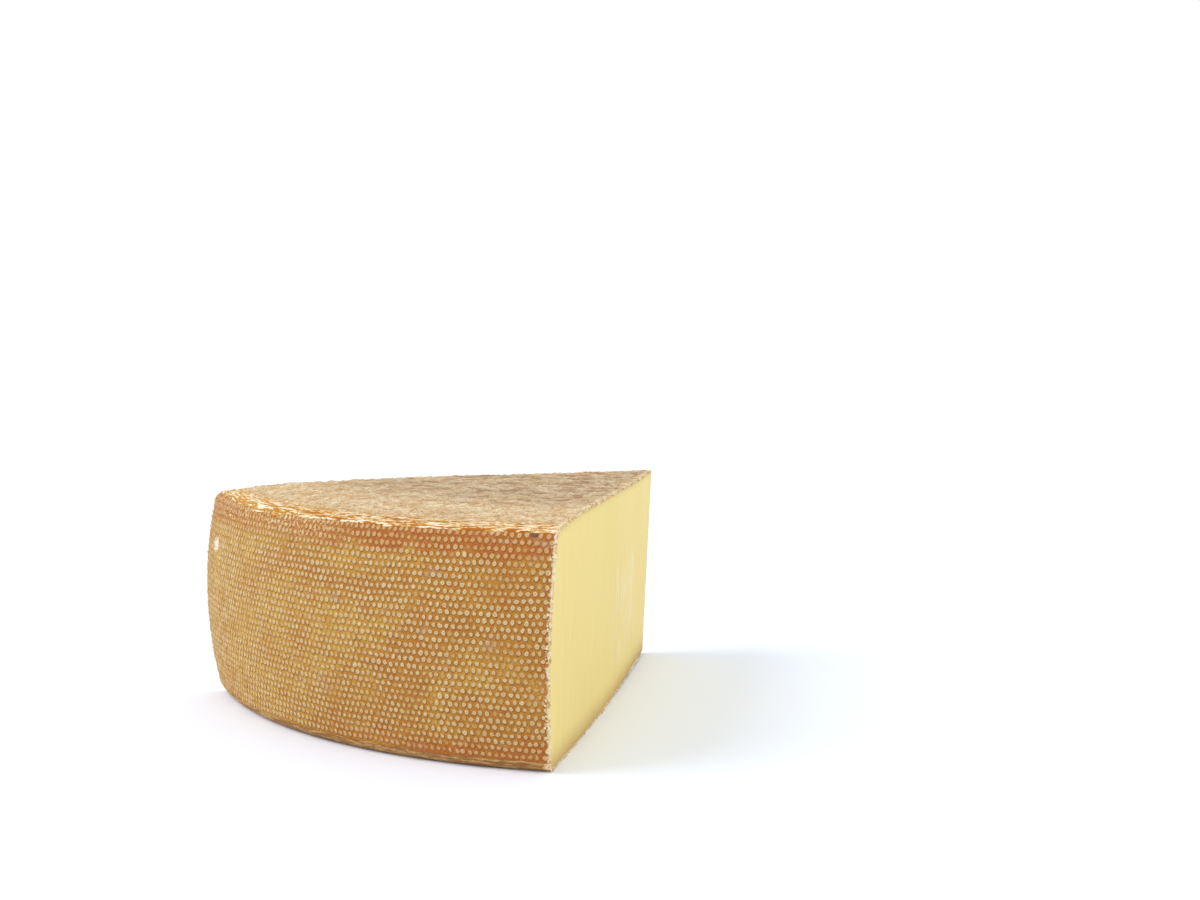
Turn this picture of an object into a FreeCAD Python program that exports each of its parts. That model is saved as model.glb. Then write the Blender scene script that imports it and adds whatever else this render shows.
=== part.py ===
import FreeCAD, Part
import os
from math import cos, radians, sin, tan
import Sketcher
from FreeCAD import Vector

# A wedge of mountain cheese, about a sixth of a large flat wheel, standing on the wheel's lower
# face. Wheel and wedge are built round the wheel's axis: the wheel's section is turned about Z,
# and the piece is what lies between two knife cuts that meet near that axis.
#
# Row frame: +Z up, +Y from the rounded band of rind towards the wedge's point, +X to the right of
# somebody who faces the band. The origin is on the floor under the middle of the piece.
# Millimetres and degrees.

SIZES = (
    ("wheel_height", 110.0, "lower face to upper face"),
    ("rim_radius", 251.5, "wheel's axis to where the band meets each face, before the rounds"),
    ("band_bulge", 6.5, "how far the band bows out past the rims at half height"),
    ("wedge_angle", 58.3, "between the two knife cuts, seen from above"),
    ("cut_lean", 2.45, "angle by which each cut runs inwards on its way down"),
    ("cut_bow", 2.6, "how far the paste swells out of each cut, halfway along it"),
    ("top_drop", 3.6, "how far the upper rim lies under the upper face"),
    ("top_slope_width", 47.0, "width of the ring over which the upper face falls to the rim"),
    ("foot_lift", 0.6, "how far the lower rim is off the floor"),
    ("foot_slope_width", 38.0, "width of the ring over which the lower face rises to the rim"),
    ("dish_radius", 126.0, "radius of the shallow hollow round the axis in both faces"),
    ("top_dish", 1.4, "depth of the hollow in the upper face, at the axis"),
    ("foot_dish", 1.6, "depth of the hollow in the lower face, at the axis"),
    ("top_round", 3.0, "radius of the upper rim"),
    ("foot_round", 4.0, "radius of the lower rim"),
    ("knife_overrun", 3.0, "how far the cuts run past the wheel, above, below and outside"),
)
size = {name: value for name, value, _ in SIZES}

document = FreeCAD.newDocument("mountain_cheese_wedge")
sheet = document.addObject("Spreadsheet::Sheet", "sizes")
for row, (name, value, note) in enumerate(SIZES, 1):
    sheet.set(f"A{row}", name)
    sheet.set(f"B{row}", str(value))
    sheet.setAlias(f"B{row}", name)
    sheet.set(f"C{row}", note)
document.recompute()

# Sketcher's numbers for a sketch's own axes and origin, and for the points of an edge.
ACROSS, UP = -1, -2
ORIGIN = (-1, 1)
START, END, CENTRE = 1, 2, 3


def sketch_on(body, name, role):
    """A sketch of the body on one of its own origin planes."""
    sketch = body.newObject("Sketcher::SketchObject", name)
    plane = next(item for item in body.Origin.OriginFeatures if item.Role == role)
    sketch.AttachmentSupport = [(plane, "")]
    sketch.MapMode = "FlatFace"
    return sketch


def join(sketch, *pairs, how="Coincident"):
    """Joins edge ends, each pair given as (edge, end, edge, end). Tangent joins are smooth."""
    for pair in pairs:
        sketch.addConstraint(Sketcher.Constraint(how, *pair))


def measure(sketch, label, kind, where, guess, formula):
    """A dimension that the sheet drives. The guess only helps the sketch to start well."""
    number = sketch.addConstraint(Sketcher.Constraint(kind, *where, guess))
    sketch.renameConstraint(number, label)
    sketch.setExpression(f"Constraints.{label}", formula)


def measure_size(sketch, label, kind, where, name):
    """A dimension that is one size of the sheet as it stands."""
    measure(sketch, label, kind, where, size[name], f"sizes.{name}")


def line(sketch, start, end, construction=False):
    return sketch.addGeometry(Part.LineSegment(Vector(*start), Vector(*end)), construction)


def arc(sketch, start, through, end):
    """An arc that turns anticlockwise from start to end."""
    return sketch.addGeometry(Part.Arc(Vector(*start), Vector(*through), Vector(*end)))


def draw_section(sketch):
    """The wheel's section, right of its axis: faces with a shallow dish, and a bowed band."""
    height, rim = size["wheel_height"], size["rim_radius"]
    middle = height / 2
    low_axis, high_axis = (0, size["foot_dish"]), (0, height - size["top_dish"])
    low_dish, high_dish = (size["dish_radius"], 0), (size["dish_radius"], height)
    low_slope = (rim - size["foot_slope_width"], 0)
    high_slope = (rim - size["top_slope_width"], height)
    low_rim, high_rim = (rim, size["foot_lift"]), (rim, height - size["top_drop"])

    # A shallow arc starts well from a point a quarter of its height off its flat end.
    def between(flat, steep):
        return (flat[0] + steep[0]) / 2, flat[1] + (steep[1] - flat[1]) / 4

    foot_hollow = arc(sketch, low_dish, (low_dish[0] / 2, low_axis[1] * 3 / 4), low_axis)
    foot_flat = line(sketch, low_dish, low_slope)
    foot_slope = arc(sketch, low_slope, between(low_slope, low_rim), low_rim)
    band = arc(sketch, low_rim, (rim + size["band_bulge"], middle), high_rim)
    top_slope = arc(sketch, high_rim, between(high_slope, high_rim), high_slope)
    top_flat = line(sketch, high_slope, high_dish)
    hollow_at = (high_dish[0] / 2, height - size["top_dish"] * 3 / 4)
    top_hollow = arc(sketch, high_axis, hollow_at, high_dish)
    axis = line(sketch, high_axis, low_axis)
    widest = sketch.addGeometry(Part.Point(Vector(rim + size["band_bulge"], middle)), True)

    join(
        sketch,
        (foot_hollow, START, foot_flat, START),
        (foot_slope, END, band, START),
        (band, END, top_slope, START),
        (top_flat, END, top_hollow, END),
        (top_hollow, START, axis, START),
        (axis, END, foot_hollow, END),
    )
    smooth = ((foot_flat, END, foot_slope, START), (top_slope, END, top_flat, START))
    join(sketch, *smooth, how="Tangent")
    for edge, end in ((axis, START), (axis, END), (foot_hollow, CENTRE), (top_hollow, CENTRE)):
        sketch.addConstraint(Sketcher.Constraint("PointOnObject", edge, end, UP))
    for end in (START, END):
        sketch.addConstraint(Sketcher.Constraint("PointOnObject", foot_flat, end, ACROSS))
    sketch.addConstraint(Sketcher.Constraint("Horizontal", top_flat))
    sketch.addConstraint(Sketcher.Constraint("Vertical", band, START, band, END))
    sketch.addConstraint(Sketcher.Constraint("PointOnObject", widest, START, band))
    sketch.addConstraint(Sketcher.Constraint("Horizontal", widest, START, band, CENTRE))

    measure_size(sketch, "rim", "DistanceX", (*ORIGIN, band, START), "rim_radius")
    measure_size(sketch, "bulge", "DistanceX", (band, START, widest, START), "band_bulge")
    measure_size(sketch, "height", "DistanceY", (*ORIGIN, top_flat, START), "wheel_height")
    measure_size(sketch, "drop", "DistanceY", (band, END, top_flat, START), "top_drop")
    measure_size(sketch, "slope", "DistanceX", (top_flat, START, band, END), "top_slope_width")
    measure_size(sketch, "lift", "DistanceY", (*ORIGIN, band, START), "foot_lift")
    measure_size(sketch, "foot", "DistanceX", (foot_flat, END, band, START), "foot_slope_width")
    measure_size(sketch, "dish", "DistanceX", (*ORIGIN, foot_flat, START), "dish_radius")
    measure_size(sketch, "top_dish_at", "DistanceX", (*ORIGIN, top_flat, END), "dish_radius")
    measure_size(sketch, "top_dish_in", "DistanceY", (axis, START, top_flat, END), "top_dish")
    measure_size(sketch, "foot_dish_in", "DistanceY", (*ORIGIN, axis, END), "foot_dish")


def rim_edges(shape, height):
    """Names of the wheel's rim edges at one height: the circles of the rim's radius."""
    return [
        f"Edge{number}"
        for number, edge in enumerate(shape.Edges, 1)
        if not edge.Degenerated
        and isinstance(edge.Curve, Part.Circle)
        and abs(edge.Curve.Radius - size["rim_radius"]) < 1e-3
        and abs(edge.Curve.Center.z - height) < 1e-3
    ]


def make_wheel():
    """The whole wheel: its section turned about its axis, with both rims rounded."""
    body = document.addObject("PartDesign::Body", "wheel")
    section = sketch_on(body, "wheel_section", "XZ_Plane")
    draw_section(section)
    solid = body.newObject("PartDesign::Revolution", "wheel_turned")
    solid.Profile = section
    solid.ReferenceAxis = (section, ["V_Axis"])
    solid.Angle = 360
    rims = (
        ("foot_round", size["foot_lift"]),
        ("top_round", size["wheel_height"] - size["top_drop"]),
    )
    for name, height in rims:
        document.recompute()
        rounded = body.newObject("PartDesign::Fillet", name)
        rounded.Base = (solid, rim_edges(solid.Shape, height))
        rounded.setExpression("Radius", f"sizes.{name}")
        solid = rounded
    return body


# The knife's two cuts meet over the axis at the top of their run, and lean in on the way down.
HALF_TURN_OUT = "sin(sizes.wedge_angle / 2 * 1 deg)"
KNIFE_TRAVEL = "(sizes.wheel_height + 2 * sizes.knife_overrun)"
KNIFE_REACH = "sizes.rim_radius + sizes.band_bulge + sizes.knife_overrun"


def draw_cuts(sketch, apex):
    """What the knife leaves, seen from above: a sector whose two straight sides are bowed out.

    apex is how far the sector's point is moved from the axis towards the band.
    """
    reach = size["rim_radius"] + size["band_bulge"] + size["knife_overrun"]
    half = radians(size["wedge_angle"] / 2)
    point = (0, -apex)
    right = (reach * sin(half), -apex - reach * cos(half))
    left = (-right[0], right[1])

    def bowed(side):
        """The middle of one cut: halfway out, and off the straight line by the bow."""
        outwards = size["cut_bow"]
        return (
            side * (right[0] / 2 + outwards * cos(half)),
            (point[1] + right[1]) / 2 + outwards * sin(half),
        )

    right_chord = line(sketch, point, right, construction=True)
    left_chord = line(sketch, point, left, construction=True)
    right_cut = arc(sketch, right, bowed(1), point)
    left_cut = arc(sketch, point, bowed(-1), left)
    outside = arc(sketch, left, (0, -apex - reach), right)
    join(
        sketch,
        (right_chord, START, right_cut, END),
        (right_chord, START, left_chord, START),
        (right_chord, START, left_cut, START),
        (right_chord, END, right_cut, START),
        (left_chord, END, left_cut, END),
        (outside, START, left_chord, END),
        (outside, END, right_chord, END),
        (outside, CENTRE, right_chord, START),
    )
    sketch.addConstraint(Sketcher.Constraint("Horizontal", right_chord, END, left_chord, END))
    if apex:
        sketch.addConstraint(Sketcher.Constraint("PointOnObject", right_chord, START, UP))
        formula = f"{KNIFE_TRAVEL} * tan(sizes.cut_lean * 1 deg) / {HALF_TURN_OUT}"
        measure(sketch, "apex", "DistanceY", (right_chord, START, *ORIGIN), apex, formula)
    else:
        join(sketch, (right_chord, START, *ORIGIN))
    measure(sketch, "reach", "Distance", (right_chord,), reach, KNIFE_REACH)
    angle = "sizes.wedge_angle * 1 deg"
    measure(sketch, "angle", "Angle", (left_chord, START, right_chord, START), 2 * half, angle)

    for side, chord, cut in ((1, right_chord, right_cut), (-1, left_chord, left_cut)):
        middle = sketch.addGeometry(Part.Point(Vector(*bowed(side))), True)
        sketch.addConstraint(Sketcher.Constraint("PointOnObject", middle, START, cut))
        label = "right_bow" if side > 0 else "left_bow"
        measure_size(sketch, label, "Distance", (middle, START, chord), "cut_bow")
        centre = sketch.Geometry[cut].Center
        spoke = line(sketch, (centre.x, centre.y), bowed(side), construction=True)
        join(sketch, (spoke, START, cut, CENTRE), (spoke, END, middle, START))
        sketch.addConstraint(Sketcher.Constraint("Perpendicular", spoke, chord))


def make_cuts():
    """A block with the outline of the wedge, taller and longer than the wheel."""
    travel = size["wheel_height"] + 2 * size["knife_overrun"]
    lean, half = radians(size["cut_lean"]), radians(size["wedge_angle"] / 2)
    body = document.addObject("PartDesign::Body", "knife_cuts")
    outlines = []
    places = (
        ("cuts_below", travel * tan(lean) / sin(half), "-sizes.knife_overrun"),
        ("cuts_above", 0, "sizes.wheel_height + sizes.knife_overrun"),
    )
    for name, apex, height in places:
        sketch = sketch_on(body, name, "XY_Plane")
        sketch.setExpression("AttachmentOffset.Base.z", height)
        draw_cuts(sketch, apex)
        outlines.append(sketch)
    block = body.newObject("PartDesign::AdditiveLoft", "between_cuts")
    block.Profile = outlines[0]
    block.Sections = outlines[1:]
    block.Ruled = True
    return body


def make_wedge(wheel, cuts):
    """The piece itself: the part of the wheel between the cuts, set over the frame's origin."""
    wedge = document.addObject("Part::Common", "cheese_wedge")
    wedge.Label = "cheese_wedge"
    wedge.Base = wheel
    wedge.Tool = cuts
    # The point's upper end lies a little in front of the axis, as the cuts meet above it.
    above = "(sizes.knife_overrun + sizes.top_dish)"
    point = f"{above} * tan(sizes.cut_lean * 1 deg) / {HALF_TURN_OUT}"
    middle = f"(sizes.rim_radius + sizes.band_bulge + {point}) / 2"
    wedge.setExpression("Placement.Base.y", middle)
    return wedge


def check(objects):
    """Stops the build if an object failed, or if a shape is missing, broken or in pieces."""
    for item in document.Objects:
        if {"Invalid", "Error"} & set(item.State):
            raise RuntimeError(f"{item.Name} failed: {item.State}")
    for item in objects:
        if item.Shape.isNull() or not item.Shape.isValid() or len(item.Shape.Solids) != 1:
            raise RuntimeError(f"{item.Label} is not one valid solid")


wedge = make_wedge(make_wheel(), make_cuts())
document.recompute()
check([wedge])
os.makedirs("parts", exist_ok=True)
wedge.Shape.exportStep(f"parts/{wedge.Label}.step")
box = wedge.Shape.optimalBoundingBox()
print(
    f"{wedge.Label}: {wedge.Shape.Volume / 1e6:.3f} litres,"
    f" x {box.XMin:.2f} to {box.XMax:.2f}, y {box.YMin:.2f} to {box.YMax:.2f},"
    f" z {box.ZMin:.2f} to {box.ZMax:.2f} mm"
)
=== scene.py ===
# %% [markdown]
# # A wedge of mountain cheese
#
# The real object is about a sixth of a big flat wheel of pressed cheese. It has three kinds of
# surface: the band, which is the wheel's upright outer wall and carries the dots of the mould's
# mesh; the wheel's two flat faces, whose rind is wrinkled; and the two cuts, where a wire has
# gone through the pale yellow paste. This notebook builds the paste as one block and lays three
# sheets of rind over it, because rind and paste need such different detail.

# %% Open the frame
from math import atan2, cos, hypot, pi, radians, sin, sqrt, tan
from random import Random

import bmesh
import bpy
from mathutils import Matrix, Vector, noise


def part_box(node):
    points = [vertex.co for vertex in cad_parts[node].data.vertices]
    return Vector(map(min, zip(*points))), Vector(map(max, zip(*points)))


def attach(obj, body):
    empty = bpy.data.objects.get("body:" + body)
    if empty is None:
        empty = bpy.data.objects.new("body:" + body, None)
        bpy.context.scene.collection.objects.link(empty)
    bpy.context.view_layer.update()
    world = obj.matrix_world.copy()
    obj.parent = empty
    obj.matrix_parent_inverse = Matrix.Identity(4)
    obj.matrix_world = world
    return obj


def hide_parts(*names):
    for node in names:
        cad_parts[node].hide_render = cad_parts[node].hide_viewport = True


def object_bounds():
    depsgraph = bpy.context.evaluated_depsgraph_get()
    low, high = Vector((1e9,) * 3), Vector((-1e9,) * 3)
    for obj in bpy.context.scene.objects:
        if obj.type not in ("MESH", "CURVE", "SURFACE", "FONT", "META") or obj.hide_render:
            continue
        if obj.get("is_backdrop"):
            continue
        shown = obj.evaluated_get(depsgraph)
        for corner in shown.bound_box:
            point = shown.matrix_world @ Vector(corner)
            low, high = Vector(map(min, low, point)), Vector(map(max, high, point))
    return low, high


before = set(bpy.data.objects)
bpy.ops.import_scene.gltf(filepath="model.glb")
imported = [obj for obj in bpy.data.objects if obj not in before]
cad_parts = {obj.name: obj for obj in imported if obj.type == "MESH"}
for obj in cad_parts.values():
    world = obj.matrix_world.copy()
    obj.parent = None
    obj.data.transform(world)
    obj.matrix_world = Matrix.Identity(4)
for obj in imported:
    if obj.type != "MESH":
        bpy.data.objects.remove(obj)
cad_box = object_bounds()
low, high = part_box("cheese_wedge")
MM = 0.001
noise.seed_set(11)                     # otherwise noise_vector takes its seed from the clock
print("The piece measures", [round(side / MM, 1) for side in high - low], "mm")

# %% [markdown]
# ## The form
#
# A wheel is easiest to think of as a square-edged block that has been pressed out of true. So
# every part of the cheese is first placed on that plain block, in millimetres, and one function,
# `settle`, then gives it the real form: rims that droop, faces that dish, a band that bows out,
# and cuts that lean in on their way down and swell a little. Because all pieces go through the
# same function, they stay fitted to one another whatever is changed.

# %% Sizes of the wheel and of the cuts, in millimetres
HEIGHT = (high.z - low.z) / MM
POINT_GAP = 0.4                        # the point's distance from the wheel's axis
AXIS_Y = high.y / MM + POINT_GAP
BULGE = 6.5
RIM = AXIS_Y - low.y / MM - BULGE      # radius where the band meets the faces
HALF_ANGLE = radians(58.3 / 2)
TOP_ROUND, FOOT_ROUND = 3.0, 4.0
TOP_DROP, TOP_SLOPE = 3.6, 47.0
FOOT_LIFT, FOOT_SLOPE = 0.6, 38.0
DISH_RADIUS, TOP_DISH, FOOT_DISH = 126.0, 1.4, 1.6
CUT_LEAN, CUT_BOW = radians(2.45), 2.6
CUTS_MEET = HEIGHT + 3.0               # the height at which both cuts reach the wheel's axis
print(f"Wheel: {2 * (RIM + BULGE):.0f} mm across and {HEIGHT:.0f} mm high")


# %% Press the plain block into the real form
def settle(across, radius, height):
    """The place of a point of the plain block. across runs from -1 at one cut to 1 at the next."""
    up = height / HEIGHT
    slope = max(0, (radius - RIM + TOP_SLOPE) / TOP_SLOPE) ** 2
    foot = max(0, (radius - RIM + FOOT_SLOPE) / FOOT_SLOPE) ** 2
    dish = max(0, 1 - (radius / DISH_RADIUS) ** 2)
    z = height - up * (TOP_DROP * slope + TOP_DISH * dish)
    z += (1 - up) * (FOOT_LIFT * foot + FOOT_DISH * dish)
    outer = RIM + BULGE * (1 - (2 * up - 1) ** 2)
    shift = (CUTS_MEET - z) * tan(CUT_LEAN) / sin(HALF_ANGLE)
    turn = across * HALF_ANGLE
    reach = sqrt(outer**2 - (shift * sin(turn)) ** 2) - shift * cos(turn)
    out = reach * radius / RIM
    bow = across * CUT_BOW * 4 * (out / RIM) * (1 - out / RIM)
    x = out * sin(turn) + bow * cos(turn)
    y = AXIS_Y - shift - out * cos(turn) + bow * sin(turn)
    return Vector((x, y, max(z, 0))) * MM


print("Middle of the upper face:", round(settle(0, 0, HEIGHT).z / MM, 1), "mm high")
print("Upper rim of the band:", round(settle(0, RIM, HEIGHT).z / MM, 1), "mm high")

# %% [markdown]
# The outline of the block's section runs from the middle of its foot, round the lower rim, up
# the band, round the upper rim and back to the axis. A place on it is a length along this line,
# and a distance out from it, so a sheet of rind can be any stretch of it, with its relief
# simply added to the distance.

# %% Walk along the outline of the section
FOOT_FLAT, TOP_FLAT = RIM - FOOT_ROUND, RIM - TOP_ROUND
BAND_FLAT = HEIGHT - FOOT_ROUND - TOP_ROUND
FOOT_ARC, TOP_ARC = FOOT_ROUND * pi / 2, TOP_ROUND * pi / 2
BAND_START = FOOT_FLAT + FOOT_ARC
BAND_END = BAND_START + BAND_FLAT
TOP_START = BAND_END + TOP_ARC
OUTLINE = TOP_START + TOP_FLAT


def outline(along, out):
    """The (radius, height) of a place on the block's outline."""
    if along < FOOT_FLAT:
        return along, -out
    if along < BAND_START:
        angle = (along - FOOT_FLAT) / FOOT_ROUND
        span = FOOT_ROUND + out
        return FOOT_FLAT + span * sin(angle), FOOT_ROUND - span * cos(angle)
    if along < BAND_END:
        return RIM + out, FOOT_ROUND + along - BAND_START
    if along < TOP_START:
        angle = (along - BAND_END) / TOP_ROUND
        span = TOP_ROUND + out
        return TOP_FLAT + span * cos(angle), HEIGHT - TOP_ROUND + span * sin(angle)
    return OUTLINE - along, HEIGHT + out


print(f"The outline is {OUTLINE:.0f} mm long, and the band {BAND_FLAT:.0f} mm of it")

# %% [markdown]
# ## Camera
#
# The camera stands a little above the wheel and looks slightly down, past the band to the
# right-hand cut. It comes first, so that every later step can be looked at as it is made.

# %% Set up the camera
CAMERA_TURN = radians(40.4)            # between the band's middle and the line of sight
CAMERA_BACK, CAMERA_SIDE, CAMERA_HIGH = 885.0, 30.7, 196.5
CAMERA_TILT, CAMERA_ROLL = radians(4.91), radians(-0.385)
LENS, SENSOR = 45.0, 36.0

forward = Vector((-sin(CAMERA_TURN), cos(CAMERA_TURN), 0))
right = Vector((cos(CAMERA_TURN), sin(CAMERA_TURN), 0))
up = Vector((0, 0, 1))
camera = bpy.data.objects.new("camera", bpy.data.cameras.new("camera"))
bpy.context.scene.collection.objects.link(camera)
bpy.context.scene.camera = camera
camera.data.lens, camera.data.sensor_width = LENS, SENSOR
sight = forward * cos(CAMERA_TILT) - up * sin(CAMERA_TILT)
rise = forward * sin(CAMERA_TILT) + up * cos(CAMERA_TILT)
side = right * cos(CAMERA_ROLL) + rise * sin(CAMERA_ROLL)
rise = rise * cos(CAMERA_ROLL) - right * sin(CAMERA_ROLL)
stand = Vector((0, AXIS_Y, CAMERA_HIGH)) - forward * CAMERA_BACK - right * CAMERA_SIDE
turn = Matrix((side, rise, -sight)).transposed().to_4x4()
camera.matrix_world = Matrix.Translation(stand * MM) @ turn
print("The camera stands at", [round(value) for value in stand], "mm")


# %% [markdown]
# ## Meshes
#
# A grid from Blender's own operator is a flat square sheet. Moving its points bends it to the
# cheese. For a sheet of rind a second, coarser grid is laid behind the first, and the four edges
# are bridged, which gives a closed shell: fine where it is seen, and cheap behind.

# %% Helpers for grids
def grid(mesh, columns, rows):
    """A flat square of quads from corner (0, 0) to corner (1, 1). Returns its points."""
    centre = Matrix.Translation((0.5, 0.5, 0))
    made = bmesh.ops.create_grid(
        mesh, x_segments=columns, y_segments=rows, size=0.5, matrix=centre
    )
    return made["verts"]


def rim_edges(points):
    """The four edges of a flat square grid, as lists of mesh edges in a fixed order."""
    sides = []
    for axis in (0, 1):
        for end in (0, 1):
            on = dict.fromkeys(point for point in points if abs(point.co[axis] - end) < 1e-6)
            edges = dict.fromkeys(edge for point in on for edge in point.link_edges)
            sides.append([edge for edge in edges if all(point in on for point in edge.verts)])
    return sides


trial = bmesh.new()
print("A grid of 3 by 2 has edges of", [len(side) for side in rim_edges(grid(trial, 3, 2))])
trial.free()


# %% Helpers for shells and finished pieces
SAME_PLACE = 0.001 * MM                # points closer than this are one


def new_mesh():
    """An empty bmesh whose points can carry two triples of numbers for the shaders.

    walk is where the point is on the cheese, and marks is what its relief looks like there.
    """
    mesh = bmesh.new()
    walk = mesh.verts.layers.float_vector.new("walk")
    marks = mesh.verts.layers.float_vector.new("marks")
    return mesh, walk, marks


def shell(front, back, place):
    """A closed sheet: a fine front and a coarse back, each given as (columns, rows).

    place turns (u, v, is_back) into a point, its walk and its marks.
    """
    mesh, walk, marks = new_mesh()
    fronts = grid(mesh, *front)
    backs = grid(mesh, *back)
    sides = list(zip(rim_edges(fronts), rim_edges(backs)))
    for points, is_back in ((fronts, False), (backs, True)):
        for point in points:
            point.co, point[walk], point[marks] = place(point.co.x, point.co.y, is_back)
    for fine, coarse in sides:
        bmesh.ops.bridge_loops(mesh, edges=fine + coarse)
    bmesh.ops.remove_doubles(mesh, verts=mesh.verts, dist=SAME_PLACE)
    return mesh


def finish_piece(name, mesh):
    """Makes an object of a bmesh, with its faces turned outwards."""
    bmesh.ops.recalc_face_normals(mesh, faces=mesh.faces)
    data = bpy.data.meshes.new(name)
    mesh.to_mesh(data)
    open_edges = sum(not edge.is_manifold for edge in mesh.edges)
    triangles = sum(len(face.verts) - 2 for face in mesh.faces)
    mesh.free()
    for polygon in data.polygons:
        polygon.use_smooth = True
    piece = bpy.data.objects.new(name, data)
    bpy.context.scene.collection.objects.link(piece)
    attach(piece, "root")
    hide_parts("cheese_wedge")
    print(f"{name}: {triangles} triangles, {open_edges} open edges")
    return piece


print("Every piece rides on the root body and takes the place of the plain solid")


# %% [markdown]
# ## Paste
#
# The paste is the body of the cheese: close, smooth and without holes. It could be a cut
# cylinder, but then its rims would stay sharp. So a grid is bent to the section of the wheel, a
# little under the rind, and spun about the axis: the spin keeps the first grid and the last one
# as the two cut faces, and everything then goes through `settle`. A wire never cuts quite flat,
# so a shallow relief of upright streaks is added where a point lies on a cut.

# %% Bend a square to the section of the paste
RIND = 1.2                             # thickness of the rind
PASTE_COLUMNS, PASTE_ROWS, PASTE_TURNS = 230, 100, 40


def round_corner(inwards, upwards, size):
    """Eases a square corner into a quarter circle. Both distances are from the two edges."""
    if inwards >= size or upwards >= size:
        return inwards, upwards
    a, b = 1 - inwards / size, 1 - upwards / size
    return size * (1 - a * sqrt(1 - b * b / 2)), size * (1 - b * sqrt(1 - a * a / 2))


def section_place(u, v):
    """A place in the paste's section, as (radius, height) on the plain block."""
    wide, tall = RIM - RIND, HEIGHT - 2 * RIND
    inwards, upwards = wide * (1 - u), tall * v
    if v < 0.5:
        inwards, upwards = round_corner(inwards, upwards, FOOT_ROUND - RIND)
    else:
        inwards, down = round_corner(inwards, tall - upwards, TOP_ROUND - RIND)
        upwards = tall - down
    return wide - inwards, RIND + upwards


print("A corner of the section:", [round(part, 2) for part in section_place(1, 1)], "mm")


# %% Spin the section and mark the cuts
STREAK_DEPTH, SWELL_DEPTH = 0.05, 0.3
ON_CUT = 0.9999                        # the part of the half angle from which a point is on a cut
NO_MARKS = 2.0                         # radius within which the cuts stay plain


def wire_marks(across, radius, height):
    """How far a cut face stands out or in, in millimetres."""
    along = radius * (1 if across > 0 else -1)
    streak = noise.noise(Vector((along / 7, height / 70, 2.0)))
    swell = noise.noise(Vector((along / 30, height / 40, 7.0)))
    return STREAK_DEPTH * streak + SWELL_DEPTH * swell


paste_mesh, walk, _ = new_mesh()
for point in grid(paste_mesh, PASTE_COLUMNS, PASTE_ROWS):
    radius, height = section_place(point.co.x, point.co.y)
    point.co = Vector((radius, 0, height))
everything = paste_mesh.verts[:] + paste_mesh.edges[:] + paste_mesh.faces[:]
bmesh.ops.spin(
    paste_mesh, geom=everything, cent=(0, 0, 0), axis=(0, 0, 1), angle=2, steps=PASTE_TURNS
)
for point in paste_mesh.verts:
    radius, height = hypot(point.co.x, point.co.y), point.co.z
    across = atan2(point.co.y, point.co.x) - 1 if radius > 1e-4 else 0
    point[walk] = Vector((across, radius, height))
    if abs(across) > ON_CUT and radius > NO_MARKS:
        across += wire_marks(across, radius, height) / (HALF_ANGLE * radius) * across
    point.co = settle(across, radius, height)
bmesh.ops.remove_doubles(paste_mesh, verts=paste_mesh.verts, dist=10 * SAME_PLACE)
paste = finish_piece("paste", paste_mesh)


# %% [markdown]
# ## Rind of the band
#
# A young wheel is pressed in a mould lined with plastic mesh, and each opening of the mesh
# leaves a small nub. Over months of washing and turning the nubs get rubbed pale, while the
# smear between them turns brown. The nubs could be painted, or be thousands of small domes. Here
# they are a relief of one fine sheet, because they then catch the light and grow out of the rind
# without a seam. Each point looks up its nearest nub; the distance is also stored on the point,
# so that the shader can draw the same nub with a sharper edge than the grid has.

# %% Lay out the nubs of the mesh
PITCH, ROW = 3.3, 3.27                 # between nubs in a row, and between rows
ROWS, FIRST_ROW = 32, 3.0
ASIDE = 42                             # nubs from the band's middle to a cut
WANDER = 0.14                          # how far a nub is usually out of line
NUB_WIDE, NUB_TALL = 1.06, 1.13
WORN_SHARE, WORN = 0.05, 0.3           # how many nubs are rubbed away, and what is left of them
BAND_TURN = HALF_ANGLE * (RIM + BULGE)

dice = Random(11)
nubs = {}
for row in range(ROWS):
    for column in range(-ASIDE, ASIDE + 1):
        place = (column + 0.5 * (row % 2)) * PITCH + dice.gauss(0, WANDER)
        level = FIRST_ROW + row * ROW + dice.gauss(0, WANDER)
        strength = WORN if dice.random() < WORN_SHARE else 1 - 0.3 * dice.random()
        wide = NUB_WIDE * dice.uniform(0.82, 1.12)
        tall = NUB_TALL * dice.uniform(0.84, 1.12)
        nubs[row, column] = (place, level, wide, tall, dice.uniform(1.3, 1.9), strength)
print(len(nubs), "nubs on the band")

# %% [markdown]
# A nub is something between a diamond and an ellipse, so its distance is measured with a power
# that differs from nub to nub: a power of 1 would give the diamond, and one of 2 the ellipse. The
# mesh of the mould never lay quite flat either, and a slow wave bends its rows.

# %% Look up the nearest nub
WAVE, WAVE_LENGTH = 0.7, 28.0
NO_NUB = (3.0, 0.0, 0.0)


def nearest_nub(place, level):
    """The nearest nub: how far it is in units of its size, its strength, and how far below it."""
    wave = noise.noise_vector(Vector((place / WAVE_LENGTH, level / WAVE_LENGTH, 3.0)))
    place, level = place + WAVE * wave.x, level + WAVE * wave.y
    below = int((level - FIRST_ROW) // ROW)
    best = NO_NUB
    for row in (below, below + 1):
        nub = nubs.get((row, round(place / PITCH - 0.5 * (row % 2))))
        if nub is None:
            continue
        middle, its_level, wide, tall, power, strength = nub
        aside, above = (place - middle) / wide, (level - its_level) / tall
        away = (abs(aside) ** power + abs(above) ** power) ** (1 / power)
        if away < best[0]:
            best = (away, strength, 0.6 * aside - 0.8 * above)
    return best


print("The nearest nub to the middle is", round(nearest_nub(0, 50)[0], 2), "times its size away")


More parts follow.
